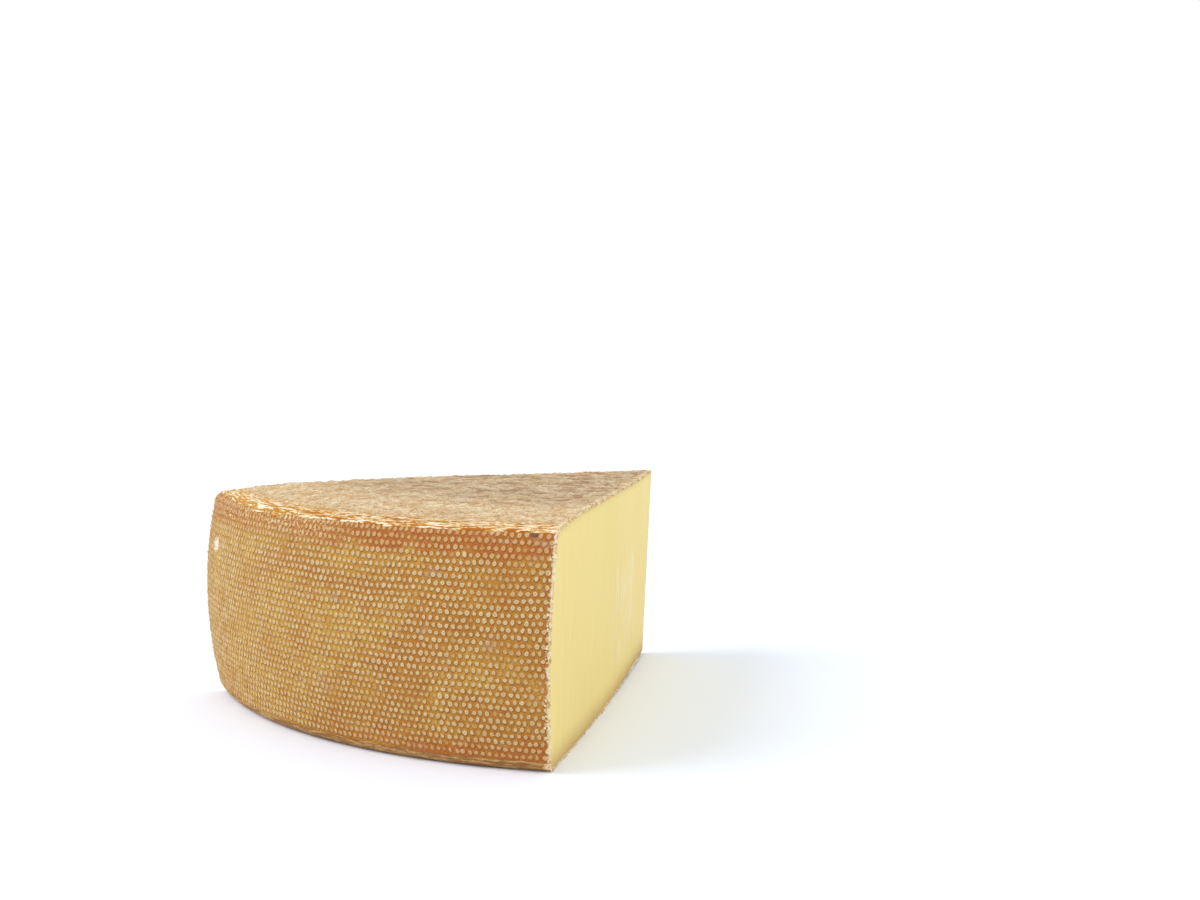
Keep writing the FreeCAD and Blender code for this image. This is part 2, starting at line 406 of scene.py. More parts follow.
# %% [markdown]
# The rows of nubs don't run on for ever. Below, the band ends in a lip that has been flattened
# by the board. Above, the crust of the upper rim hangs over it in a ragged border, with a few
# longer lobes. Both borders are a line along the outline that noise moves to and fro; beyond
# them the sheet of the band dips under the sheet of the face. At a cut the rind is torn rather
# than cut, so the last two millimetres swell and fray.

# %% Draw the ragged borders of the band
CRUST_EDGE, LIP_EDGE = 2.7, 0.6        # how far past the band's ends its borders run
LOBE = 6.0                             # reach of the longest lobes, before noise shortens them


def smooth(value, start, end):
    """Eases from 0 at start to 1 at end."""
    part = min(1, max(0, (value - start) / (end - start)))
    return part * part * (3 - 2 * part)


def crust_line(place):
    """Where the crust of the upper rim gives way to the band, along the outline."""
    ragged = noise.noise(Vector((place / 8, 0.0, 5.0)))
    ragged += 0.6 * noise.noise(Vector((place / 2.2, 0.0, 6.0)))
    lobes = max(0, noise.noise(Vector((place / 9, 0.0, 8.3))) - 0.1)
    lobes *= smooth(abs(place + 40), 55, 20)
    return BAND_END + CRUST_EDGE + 1.2 * ragged - LOBE * lobes + 1.5 * smooth(place, -70, -110)


def lip_line(place):
    """Where the crust of the lower rim ends, along the outline."""
    ragged = noise.noise(Vector((place / 10, 0.0, 15.0)))
    ragged += 0.5 * noise.noise(Vector((place / 3, 0.0, 16.0)))
    return BAND_START + LIP_EDGE + 0.9 * ragged


def fray(along, side):
    """How far the torn edge of the rind reaches past a cut, in millimetres."""
    where = Vector((along / 2.6, side * 9.0, 0.5))
    return 0.25 + 0.45 * noise.noise(where) + 0.3 * noise.noise(where * 2.7)


lines = [line(0) - BAND_START for line in (lip_line, crust_line)]
print("In the middle the band shows from", [round(line, 1) for line in lines], "mm up")


# %% Bend a sheet to the band
BAND_GRID, BACK_GRID = (476, 196), (40, 8)
TUCK_LOW, TUCK_HIGH = 4.0, 5.5         # how far the sheet runs on under the rind of the faces
SINK_LOW, SINK_HIGH = 0.6, 0.75        # how deep it dips there
NUB_HEIGHT, GRAIN_HEIGHT, SWELL_HEIGHT = 0.34, 0.1, 0.12


def band_place(u, v, is_back):
    """A point of the sheet, u of the way across the band and v of the way up."""
    across = 2 * u - 1
    along = BAND_START - TUCK_LOW + v * (BAND_FLAT + TUCK_LOW + TUCK_HIGH)
    place, level = across * BAND_TURN, along - BAND_START
    from_cut = BAND_TURN - abs(place)
    walk = Vector((place, along, from_cut))
    if is_back:
        return settle(across, *outline(along, -RIND)), walk, Vector()
    away, strength, below = nearest_nub(place, level)
    where = Vector((place, level, 0.0))
    patch = smooth(noise.noise(where / 17 + Vector((0, 0, 2.6))), -0.6, -0.15)
    strength *= (0.6 + 0.4 * patch) * (1 - 0.15 * smooth(place, -20, -120))
    dome = strength * (smooth(away, 1.3, 0.75) - 0.3 * smooth(away, 0.6, 0.1))
    grain = noise.noise(where / 1.6 + Vector((0, 0, 9.0)))
    out = NUB_HEIGHT * dome + GRAIN_HEIGHT * grain + SWELL_HEIGHT * noise.noise(where / 6)
    crust, lip = crust_line(place), lip_line(place)
    out -= SINK_HIGH * smooth(along, crust - 0.5, crust + 0.5)
    out -= SINK_LOW * smooth(along, lip + 0.3, lip - 0.6)
    edge = smooth(from_cut, 1.6, 0.2)
    out += edge * (0.15 + 0.3 * noise.noise(where / 1.3))
    across += fray(along, across) * edge / BAND_TURN * (1 if across > 0 else -1)
    return settle(across, *outline(along, out)), walk, Vector((away, strength, below))


band = finish_piece("band_rind", shell(BAND_GRID, BACK_GRID, band_place))


# %% [markdown]
# ## Rind of the two flat faces
#
# The faces lie on boards, and their rind dries into wrinkles: pale cushions parted by thin brown
# furrows. A wrinkle has a sharp valley, and the size of a noise, without its sign, has just
# that shape. Along the upper rim the crust has been brushed into streaks that follow the edge,
# so there the noise is stretched along it. Both faces use the same kind of sheet, bent to the
# upper or to the lower half of the outline, with its rows packed closer near the rim, where they
# are seen best.

# %% Relief of the faces
LEAST_RADIUS = 6                       # nearer the axis, widths are taken to be those at this radius


def wrinkle(x, y, seed):
    """Height of the wrinkled rind, about 0 to 1."""
    where = Vector((x, y, seed))
    bend = noise.noise_vector(where / 15) * 0.9
    cushion = min(1, abs(noise.noise(where / 8 + bend)) * 3.2)
    crease = min(1, abs(noise.noise(where / 2.9 - bend)) * 3)
    return 0.5 * cushion + 0.5 * crease


def rim_streak(place, along, seed):
    """Height of the streaks that run along the rim, about -1 to 1."""
    drift = 1.4 * noise.noise(Vector((place / 18, along / 9, seed)))
    long_one = noise.noise(Vector((place / 20, along / 1.3 + drift, seed + 3)))
    short = noise.noise(Vector((place / 7, along / 0.7 + drift, seed + 6)))
    return 1.1 * long_one + 0.8 * short


def face_walk(across, along):
    """The walk of a point on a face, and its flat place."""
    radius = outline(along, 0)[0]
    turn = across * HALF_ANGLE
    from_cut = (HALF_ANGLE - abs(turn)) * radius
    return Vector((turn * RIM, along, from_cut)), radius * sin(turn), radius * cos(turn)


def torn(across, from_cut, along, radius):
    """Moves a point near a cut out to the torn edge of the rind."""
    edge = smooth(from_cut, 2.2, 0.2) * smooth(radius, LEAST_RADIUS, 20)
    half_width = HALF_ANGLE * max(radius, LEAST_RADIUS)
    return across + fray(along, across) * edge / half_width * (1 if across > 0 else -1)


def packed(v, end, rim_part, rim_rows):
    """Runs from 0 to end with v, with the share rim_rows of the rows in the last rim_part."""
    if v > 1 - rim_rows:
        return end - rim_part * (1 - v) / rim_rows
    return (end - rim_part) * v / (1 - rim_rows)


print("Heights of three wrinkles:", [round(wrinkle(0, y, 21.0), 2) for y in (60, 63, 66)])


# %% Bend a sheet to the upper face
TOP_GRID = (330, 290)
AXIS_GAP = 0.5                         # the sheets end this far from the axis
OVERLAP = 7                            # how far the crust can reach down over the band
WRINKLES, WRINKLES_DEEP = 1.3, 1.05    # height of the wrinkles, and how deep they start
STREAKS = 0.42
UNDER = 0.75                           # how deep the sheet dips past its ragged border


def top_place(u, v, is_back):
    """A point of the sheet, u of the way across the face and v of the way from axis to band."""
    across = 2 * u - 1
    along = OUTLINE - AXIS_GAP - packed(v, OUTLINE - AXIS_GAP - BAND_END + OVERLAP, 26, 0.42)
    walk, x, y = face_walk(across, along)
    place, from_cut, radius = walk.x, walk.z, outline(along, 0)[0]
    if is_back:
        return settle(across, *outline(along, -RIND)), walk, Vector()
    folds = wrinkle(x, y, 21.0)
    streaks = rim_streak(place, along, 30.0)
    on_rim = smooth(along, TOP_START + 13, TOP_START + 5)
    folds_part = WRINKLES * folds - WRINKLES_DEEP
    streak_part = STREAKS * streaks
    crumb = noise.noise(Vector((along / 1.5, from_cut / 3.5, across))) * 1.3
    edge = smooth(from_cut, 5, 1) * smooth(radius, 8, 30)
    out = folds_part + (streak_part - folds_part) * on_rim + edge * (0.6 * crumb + 0.1)
    line = crust_line(place)
    out = max(out, -0.25) if along > line else out
    under = smooth(along, line + 0.35, line - 0.35)
    out = out * (1 - under) + (0.35 * (1 - under) - UNDER * under) * on_rim
    across = torn(across, from_cut, along, radius)
    return settle(across, *outline(along, out)), walk, Vector((folds, 0.5 + 0.5 * streaks, crumb))


top = finish_piece("top_rind", shell(TOP_GRID, BACK_GRID, top_place))


# %% [markdown]
# The lower face carries the weight of the wheel, so its wrinkles are pressed flat. It is hardly
# ever seen, and gets a coarser grid.

# %% Bend a sheet to the lower face
FOOT_GRID = (260, 190)
FOOT_OVERLAP = 4.5                     # how far the lower crust can reach up over the band
FLAT_WRINKLES, FLAT_STREAKS = 0.6, 0.12


def foot_place(u, v, is_back):
    """A point of the sheet, u of the way across the face and v of the way from axis to band."""
    across = 2 * u - 1
    along = AXIS_GAP + packed(v, BAND_START + FOOT_OVERLAP, 22, 0.4)
    walk, x, y = face_walk(across, along)
    place, from_cut, radius = walk.x, walk.z, outline(along, 0)[0]
    if is_back:
        return settle(across, *outline(along, -RIND)), walk, Vector()
    folds = wrinkle(x, y, 61.0)
    streaks = rim_streak(place, along, 70.0)
    on_rim = smooth(along, FOOT_FLAT - 4, FOOT_FLAT + 2)
    folds_part = FLAT_WRINKLES * folds - FLAT_WRINKLES
    streak_part = FLAT_STREAKS * streaks + 0.05
    out = folds_part + (streak_part - folds_part) * on_rim
    line = lip_line(place)
    under = smooth(along, line - 0.35, line + 0.35)
    out = out * (1 - under) - UNDER * under
    across = torn(across, from_cut, along, radius)
    return settle(across, *outline(along, out)), walk, Vector((folds, 0.5 + 0.5 * streaks, 0.0))


foot = finish_piece("foot_rind", shell(FOOT_GRID, BACK_GRID, foot_place))


# %% [markdown]
# ## Torn edges and crumbs
#
# The wire drags the rind with it, so all round each cut the rind ends in a pale, crumbling
# bead. It could be a curve with a round bevel, but that is the same thickness all along. So a
# square grid is rolled into a long tube that follows the outline, and noise makes it swell,
# shrink and sink away. Small crumbs, which are little balls pushed out of round, are scattered
# beside it; they are one mesh, as a separate object for each would only slow things down.

# %% Roll a tube along each cut
BEAD_STEPS, BEAD_SIDES = 1100, 10
BEAD_GAP = 9                           # the beads end this far from the axis
THINNEST = 0.12
TALLER = 1.25                          # a bead's height over its width


def bead_place(side, u, v):
    """A point of the bead on one side, u of the way along it and v of the way round it."""
    along = BEAD_GAP + u * (OUTLINE - 2 * BEAD_GAP)
    radius = outline(along, 0)[0]
    where = Vector((along, side * 40.0, 0.0))
    thick = 0.36 + 0.55 * noise.noise(where / 3.1) + 0.3 * noise.noise(where / 1.1)
    if along > TOP_START:
        thick = 0.25 + 0.75 * noise.noise(where / 2.4)
    thick = max(THINNEST, thick) if 0 < u < 1 else 0
    angle = 2 * pi * v
    around = Vector((cos(angle), sin(angle), 0))
    lump = 1 + 0.45 * noise.noise(where / 0.9 + around * 1.4)
    away = -0.1 + fray(along, side) * 0.6 + thick * lump * cos(angle)
    sunk = 0.5 if along > TOP_START else 0.25
    out = TALLER * thick * lump * sin(angle) - sunk
    across = side * (1 + away / (HALF_ANGLE * max(radius, LEAST_RADIUS)))
    return settle(across, *outline(along, out)), Vector((thick, lump, 0))


beads, _, marks = new_mesh()
for side in (-1, 1):
    for point in grid(beads, BEAD_STEPS, BEAD_SIDES):
        point.co, point[marks] = bead_place(side, point.co.x, point.co.y)
bmesh.ops.remove_doubles(beads, verts=beads.verts, dist=2 * SAME_PLACE)
torn_edges = finish_piece("torn_edges", beads)

# %% Scatter crumbs beside the beads
CRUMBS = 320
LARGEST, LARGEST_ON_TOP = 0.7, 0.45    # radii
FLOOR_GAP = 1.6                        # a crumb's least height, in radii
LUMPY = 0.3

dice = Random(5)
crumbs, _, _ = new_mesh()
for _ in range(CRUMBS):
    side = dice.choice((-1, 1))
    along = dice.uniform(20, OUTLINE - 20)
    if dice.random() < 0.6:
        along = dice.uniform(BAND_START - 2, TOP_START + 60)
    radius = outline(along, 0)[0]
    inwards = dice.uniform(-0.2, 1.8)
    across = side * (1 - inwards / (HALF_ANGLE * radius))
    spot = settle(across, *outline(along, dice.uniform(-0.1, 0.25)))
    size = dice.uniform(0.25, LARGEST_ON_TOP if along > TOP_START else LARGEST) * MM
    deep, tall = size * dice.uniform(0.6, 1), size * dice.uniform(0.6, 1.3)
    stretch = Matrix.Diagonal((size, deep, tall, 1))
    tilt = Matrix.Rotation(dice.uniform(0, pi), 4, Vector((dice.random(), dice.random(), 1)))
    spot.z = max(spot.z, FLOOR_GAP * size)
    made = bmesh.ops.create_icosphere(
        crumbs, subdivisions=2, radius=1, matrix=Matrix.Translation(spot) @ tilt @ stretch
    )
    for point in made["verts"]:
        point.co += noise.noise_vector(point.co / MM * 1.7) * size * LUMPY
crumbs = finish_piece("crumbs", crumbs)


# %% [markdown]
# ## Shaders
#
# A shader is built of masks and colours: a mask says where a colour goes, and one colour after
# another is laid over the last. To write the masks as plain expressions, a small class wraps a
# socket, and arithmetic on it adds Math nodes. Colours go through Mix nodes, because a Math node
# would turn them grey. A second class adds any node to a tree, and a third one is a material.

# %% A class for sockets
class Value:
    """A socket of a node tree on which arithmetic adds Math nodes."""

    def __init__(self, nodes, socket):
        self.nodes, self.socket = nodes, socket

    def math(self, operation, *values):
        made = self.nodes.node("ShaderNodeMath", {"operation": operation}, dict(enumerate(values)))
        return made(0)

    def __add__(self, other):
        return self.math("ADD", self, other)

    def __radd__(self, other):
        return self.math("ADD", other, self)

    def __sub__(self, other):
        return self.math("SUBTRACT", self, other)

    def __rsub__(self, other):
        return self.math("SUBTRACT", other, self)

    def __mul__(self, other):
        return self.math("MULTIPLY", self, other)

    def __rmul__(self, other):
        return self.math("MULTIPLY", other, self)

    def highest(self, other):
        return self.math("MAXIMUM", self, other)

    def size(self):
        return self.math("ABSOLUTE", self)


print("A mask can now be added to, subtracted from and multiplied")


# %% Classes for a tree of nodes and for a material
class Nodes:
    """Adds nodes to a tree."""

    def __init__(self, tree):
        self.tree = tree

    def node(self, kind, settings=None, sockets=None):
        """Adds a node: first its settings, then the values or links of its sockets.

        Returns a function that gives an output of the node by its name or number.
        """
        made = self.tree.nodes.new(kind)
        for name, value in (settings or {}).items():
            setattr(made, name, value)
        for name, value in (sockets or {}).items():
            if isinstance(value, Value):
                self.tree.links.new(value.socket, made.inputs[name])
            else:
                made.inputs[name].default_value = value
        return lambda name: Value(self, made.outputs[name])

    def feed(self, node, name, value):
        """Links a value to a socket of a node that is already there."""
        self.tree.links.new(value.socket, self.tree.nodes[node].inputs[name])


class Material(Nodes):
    """A material with a Principled shader, and helpers for its patterns and colours."""

    def __init__(self, name, roughness, specular):
        self.data = bpy.data.materials.new(name)
        self.data.use_nodes = True
        super().__init__(self.data.node_tree)
        shader = self.tree.nodes["Principled BSDF"]
        shader.inputs["Roughness"].default_value = roughness
        shader.inputs["Specular IOR Level"].default_value = specular
        self.place = self.vector_maths("SCALE", self.node("ShaderNodeTexCoord")("Object"), 1 / MM)

    def vector_maths(self, operation, first, second):
        """Vector Math on two vectors, or on a vector and a number to scale it by."""
        sockets = {0: first, "Scale" if operation == "SCALE" else 1: second}
        return self.node("ShaderNodeVectorMath", {"operation": operation}, sockets)(0)

    def attribute(self, name):
        """The three numbers stored on the points under a name."""
        vector = self.node("ShaderNodeAttribute", {"attribute_name": name})("Vector")
        parts = self.node("ShaderNodeSeparateXYZ", None, {0: vector})
        return parts(0), parts(1), parts(2)

    def stretched(self, x, y, z):
        """The place in space, divided by three lengths in millimetres."""
        return self.vector_maths("MULTIPLY", self.place, (1 / x, 1 / y, 1 / z))

    def walked(self, x, y):
        """The place on a sheet of rind, divided by two lengths in millimetres."""
        vector = self.node("ShaderNodeAttribute", {"attribute_name": "walk"})("Vector")
        return self.vector_maths("MULTIPLY", vector, (1 / x, 1 / y, 0))

    def noise(self, where, detail=2.0, distortion=0.0):
        """Noise from 0 to 1 with features of size 1."""
        sockets = {"Vector": where, "Scale": 1.0, "Detail": detail, "Distortion": distortion}
        return self.node("ShaderNodeTexNoise", None, sockets)(0)

    def fade(self, value, start, end):
        """Eases from 0 where the value is start to 1 where it is end."""
        sockets = {"Value": value, "From Min": start, "From Max": end}
        return self.node("ShaderNodeMapRange", {"interpolation_type": "SMOOTHSTEP"}, sockets)(0)

    def mix(self, mask, first, second):
        """The first colour where the mask is 0, the second where it is 1."""
        made = self.node("ShaderNodeMix", {"data_type": "RGBA"}, {0: mask, 6: first, 7: second})
        return made(2)

    def wear(self, colour, roughness=None, height=None, depth=0.3):
        """Feeds the Principled shader. height is bumped by a depth in millimetres."""
        self.feed("Principled BSDF", "Base Color", colour)
        if roughness:
            self.feed("Principled BSDF", "Roughness", roughness)
        if height:
            sockets = {"Strength": 1.0, "Distance": depth * MM, "Height": height}
            bump = self.node("ShaderNodeBump", None, sockets)
            self.feed("Principled BSDF", "Normal", bump("Normal"))
        self.count("finished")
        return self.data

    def count(self, step):
        """Prints how many nodes the material has after a step."""
        print(f"{self.data.name}, {step}: {len(self.tree.nodes)} nodes")


def rgb(red, green, blue):
    """A colour written in the 0 to 255 steps of a screen, as the linear numbers of a shader."""
    steps = [value / 255 for value in (red, green, blue)]
    linear = [((step + 0.055) / 1.055) ** 2.4 if step > 0.04 else step / 12.92 for step in steps]
    return (*linear, 1)


print("Half of a screen's steps is", [round(part, 3) for part in rgb(128, 128, 128)])

# %% [markdown]
# ### Paste
#
# Pressed mountain cheese is smooth and pale yellow. It ripens from outside, so it is a little
# darker and more ochre under the rind. Along the foot it darkens most, partly from that ripening
# and partly as painted shade next to the floor. All of this depends on where a point lies in the
# wheel, which the mesh carries as its walk: across, radius and height.

# %% Colour of the paste
BUTTER, LIGHT_BUTTER = rgb(240, 219, 136), rgb(246, 228, 152)
FOOT_OCHRE_AND_SHADE, UNDER_RIND = rgb(190, 156, 84), rgb(214, 180, 100)

paint = Material("cheese_paste", 0.5, 0.35)
across, radius, height = paint.attribute("walk")
broad = paint.noise(paint.stretched(45, 45, 60))
ragged = paint.noise(paint.stretched(6, 6, 6)) * 4
low_down = paint.fade(height + ragged, 20, 1)
near_band = paint.fade(RIM - radius, 4.0, 0.5)
near_top = paint.fade(HEIGHT - height, 5.0, 1.0)
colour = paint.mix(broad, BUTTER, LIGHT_BUTTER)
# painted shade along the foot, over the darker ochre that ripening gives there
colour = paint.mix(low_down * low_down * 0.8, colour, FOOT_OCHRE_AND_SHADE)
colour = paint.mix(near_band * 0.45, colour, UNDER_RIND)
colour = paint.mix(near_top * 0.35, colour, UNDER_RIND)
paint.count("plain")

# %% [markdown]
# The wire leaves upright streaks, so their noise is stretched along the height. Where soft paste
# has been dragged, pale smears and flecks stay behind, mostly in the middle of the right-hand cut.

# %% Marks of the wire
STREAK, FINE_STREAK = rgb(230, 205, 122), rgb(250, 238, 186)
FLECK, SMEAR = rgb(252, 244, 214), rgb(250, 243, 220)
SMEARS_AT = 82                         # how far from the axis the smears lie

streaks = paint.noise(paint.stretched(2.2, 2.2, 45), detail=3)
fine = paint.noise(paint.stretched(0.8, 0.8, 14), detail=2)
flecks = paint.noise(paint.stretched(1.1, 1.1, 3.0), detail=1)
smear = paint.noise(paint.stretched(3.0, 3.0, 26), detail=4, distortion=0.5)
in_middle = paint.fade((radius - SMEARS_AT) * (radius - SMEARS_AT), 2000, 300)
in_middle = in_middle * paint.fade(across, 0.98, 1.0)
in_middle = in_middle * paint.fade(height, 84, 60) * paint.fade(height, 8, 24)
colour = paint.mix(paint.fade(streaks, 0.4, 0.75) * 0.18, colour, STREAK)
colour = paint.mix(paint.fade(fine, 0.62, 0.8) * 0.25, colour, FINE_STREAK)
colour = paint.mix(paint.fade(flecks, 0.76, 0.8) * 0.5, colour, FLECK)
colour = paint.mix(paint.fade(smear, 0.5, 0.66) * in_middle * 0.6, colour, SMEAR)
relief = streaks * 0.6 + fine * 0.4
paste.data.materials.append(paint.wear(colour, 0.45 + 0.2 * streaks, relief, 0.08))

# %% [markdown]
# ### Rind of the band
#
# The smear that ripens this cheese dries to a golden brown ground between the nubs. One noise
# would look like camouflage, so several lie over one another: broad ones for zones, small ones
# for grain, and threads for the creases. The ground is yellower and more fibrous towards the
# left, and rustier under the upper rim, along the foot and beside the right-hand cut, where the
# rind stays damp longest.

# %% Ground between the nubs
GOLDEN, BROWN, PATCH = rgb(201, 158, 66), rgb(184, 129, 47), rgb(174, 110, 40)
FIBRE, PALE_FIBRE = rgb(190, 142, 48), rgb(224, 194, 124)

paint = Material("band_rind", 0.7, 0.3)
place, along, from_cut = paint.attribute("walk")
height = along - BAND_START + FOOT_ROUND
left = paint.fade(place, 20, -110)
grain = paint.noise(paint.stretched(0.75, 0.75, 0.75), detail=3)
soft = paint.noise(paint.stretched(1.7, 1.7, 1.7), detail=2)
patches = paint.noise(paint.stretched(9, 9, 7), detail=3)
broad = paint.noise(paint.stretched(32, 32, 24), detail=2)
fibres = paint.noise(paint.walked(2.6, 8.0), detail=3, distortion=1.3)
threads = paint.noise(paint.walked(1.5, 1.1), detail=3, distortion=1.0)
to_right = paint.fade(place, -40, 100)
brown_zone = paint.fade(broad + to_right * 0.16, 0.42, 0.72)
ground = paint.mix(brown_zone, GOLDEN, BROWN)
ground = paint.mix(paint.fade(patches, 0.42, 0.7) * (0.35 + 0.25 * to_right), ground, PATCH)
fibrous = paint.mix(paint.fade(fibres, 0.43, 0.58), FIBRE, PALE_FIBRE)
ground = paint.mix(left * 0.7, ground, fibrous)
paint.count("ground")

# %% Rusty zones and grain
BLUSH, BY_THE_CUT = rgb(204, 134, 58), rgb(168, 98, 38)
RUST, RED_RUST = rgb(182, 110, 36), rgb(176, 96, 36)
GRAIN, PALE_GRAIN, CREASE = rgb(150, 94, 38), rgb(216, 178, 110), rgb(152, 98, 40)

blush = paint.fade(paint.noise(paint.stretched(13, 13, 18), detail=1), 0.55, 0.7)
under_rim = paint.fade(height + patches * 14 + place * 0.02, 104, 111)
under_rim = under_rim * paint.fade(place, -150, 60) * (0.45 + patches * 0.8)
near_foot = paint.fade(height - patches * 18, 11, -4) * paint.fade(place, -20, 80)
redness = under_rim.highest(near_foot * 0.75)
rusty = paint.fade(height + patches * 10, 99, 107) * left
ground = paint.mix(blush * left * 0.25, ground, BLUSH)
ground = paint.mix(paint.fade(from_cut + soft * 3, 8, 2) * 0.45, ground, BY_THE_CUT)
ground = paint.mix(rusty * 0.9, ground, RUST)
ground = paint.mix(redness, ground, RED_RUST)
ground = paint.mix(paint.fade(grain, 0.5, 0.7) * 0.5, ground, GRAIN)
ground = paint.mix(paint.fade(grain, 0.48, 0.3) * 0.45, ground, PALE_GRAIN)
creases = paint.fade(threads, 0.52, 0.66) * (0.6 - left * 0.35)
ground = paint.mix(creases, ground, CREASE)
paint.count("rust and grain")

# %% [markdown]
# The mesh carries how far each point is from its nearest nub. A little grain is added to that
# distance before it becomes a mask, so that no nub is quite round. Each nub is pale, some have a
# tan heart where the rub has gone through, and round its lower side a darker rim of painted
# shade stands in for the shadow that each nub casts.

# %% Nubs
PAINTED_NUB_SHADE, WORN_NUB, PALE_NUB = rgb(146, 88, 34), rgb(206, 172, 112), rgb(222, 206, 164)
LEFT_NUB, RUSTY_NUB, HEART = rgb(244, 230, 192), rgb(214, 158, 88), rgb(194, 150, 100)

away, strength, below = paint.attribute("marks")
edge = away + (soft - 0.5) * 1.1 + (grain - 0.5) * 0.5
# painted shade: a dark ring round each nub, strongest on its lower side
shade = paint.fade(edge, 1.75, 1.25) * paint.fade(edge, 0.85, 1.1)
shade = shade * paint.fade(below + soft, -0.3, 1.3)
colour = paint.mix(shade * (0.35 + 0.6 * strength), ground, PAINTED_NUB_SHADE)
pale = paint.mix(strength, WORN_NUB, PALE_NUB)
pale = paint.mix(left * 0.7, pale, LEFT_NUB)
pale = paint.mix(redness.highest(rusty * 0.8) * 0.65, pale, RUSTY_NUB)
broken = 1 - left * paint.fade(fibres, 0.56, 0.4) * 0.5
colour = paint.mix(paint.fade(edge, 1.2, 0.8) * (0.25 + 0.67 * strength) * broken, colour, pale)
heart = paint.fade(edge, 0.7, 0.3) * paint.fade(patches + grain, 0.7, 1.0)
colour = paint.mix(heart * 0.75, colour, HEART)
paint.count("nubs")

# %% [markdown]
# Last come the marks that are on this one piece: flakes of crust at the upper left, greyish
# stains, one spot of white mould, one dark scab at the upper right, and the torn edge. Each spot
# is the square of the distance from its middle, made ragged by noise.

# %% Flakes, stains, mould and scab
FLAKE, STAIN, TORN = rgb(242, 222, 176), rgb(186, 164, 140), rgb(236, 220, 184)
MOULD, MOULD_LEFT, MOULD_UP = rgb(240, 234, 220), 108, 85
SCAB, SCAB_RIGHT, SCAB_UP = rgb(104, 62, 36), 121, 108.5

flaky = paint.fade(height + patches * 16, 106, 114) * paint.fade(place, 40, -10)
colour = paint.mix(paint.fade(threads, 0.56, 0.61) * flaky * 0.85, colour, FLAKE)
greyed = paint.noise(paint.stretched(11, 11, 8), detail=1, distortion=0.6)
colour = paint.mix(paint.fade(greyed, 0.64, 0.76) * 0.25, colour, STAIN)
mould_x, mould_y = (place + MOULD_LEFT) * 0.14, (height - MOULD_UP) * 0.2
mould = paint.fade(mould_x * mould_x + mould_y * mould_y + threads * 3, 2.3, 1.7)
mould = mould * paint.fade(grain + soft, 0.7, 0.95)
colour = paint.mix(mould, colour, MOULD)
scab_x, scab_y = (place - SCAB_RIGHT) * 0.5, (height - SCAB_UP) * 0.8
scab = paint.fade(scab_x * scab_x + scab_y * scab_y + soft, 1.7, 1.1)
colour = paint.mix(scab * 0.85, colour, SCAB)
colour = paint.mix(paint.fade(from_cut + soft * 2, 2.2, 1.5) * 0.9, colour, TORN)
band.data.materials.append(paint.wear(colour, 0.6 + 0.25 * grain, grain * 0.7 + soft * 0.3))

# %% [markdown]
# ### Rind of the faces
#
# The wrinkles of the sheet are stored on its points, and coloured here: brown in the furrows,
# golden on the cushions, nearly white on the crests. This is partly the rind's own colour and
# partly painted shade in the furrows and painted highlight on the crests. Over them lie veins,
# which are the thin lines where a noise crosses its middle value, brown blotches, and pale
# patches of painted light. Towards the point the blotches grow darker and the rind greyer, as
# painted shade. The lower face is the same material in browner colours, so both come from one
# function.

# %% Wrinkles, blotches and veins
BLOTCH, SHADED_BLOTCH = rgb(192, 140, 78), rgb(152, 106, 66)
VEIN, FAR_SHADE = rgb(160, 110, 58), rgb(154, 130, 102)


def wrinkled(paint, along, folds, grain, colours):
    """The colour of the wrinkled rind."""
    patches = paint.noise(paint.stretched(10, 10, 10), detail=3, distortion=0.8)
    mottle = paint.noise(paint.stretched(11, 11, 11), detail=5, distortion=0.7)
    lit = paint.noise(paint.stretched(8, 8, 30), detail=5, distortion=0.7)
    # painted shade: the rind grows darker and greyer towards the point
    far_shade = paint.fade(along, *colours["far_shade"])
    brown = paint.mix(far_shade, BLOTCH, SHADED_BLOTCH)
    # partly painted shade: the furrows of the wrinkles are brown
    raised = paint.fade(folds + grain * 0.5, 0.3, 0.65)
    colour = paint.mix(raised, colours["furrow"], colours["cushion"])
    # partly painted highlight: the crests of the wrinkles turn nearly white
    colour = paint.mix(paint.fade(folds + grain * 0.8, 1.0, 1.35), colour, colours["crest"])
    colour = paint.mix(paint.fade(patches, 0.52, 0.68) * 0.4, colour, colours["gold"])
    # brown blotches, darker and stronger towards the point as painted shade
    colour = paint.mix(paint.fade(mottle, 0.42, 0.64) * (0.3 + 0.5 * far_shade), colour, brown)
    # painted light: pale patches in the colour of the crests
    colour = paint.mix(paint.fade(lit, 0.5, 0.62) * (0.45 + 0.2 * far_shade), colour, colours["crest"])
    vein = (paint.noise(paint.stretched(6, 6, 6), detail=3, distortion=1.4) - 0.5).size()
    colour = paint.mix(paint.fade(vein, 0.04, 0.01) * 0.6, colour, VEIN)
    # painted shade towards the point
    colour = paint.mix(far_shade * 0.3, colour, FAR_SHADE)
    paint.count("wrinkles")
    return colour


print("Both faces take their wrinkles from one function")


# %% [markdown]
# Along the rim the crust is brushed into streaks, pale on their crests and golden between. The
# border between streaks and wrinkles wanders, and beside the cuts the rind is torn into teeth.

# %% Streaks of the rim and torn teeth
TOOTH, PALE_TOOTH = rgb(204, 156, 92), rgb(242, 222, 180)


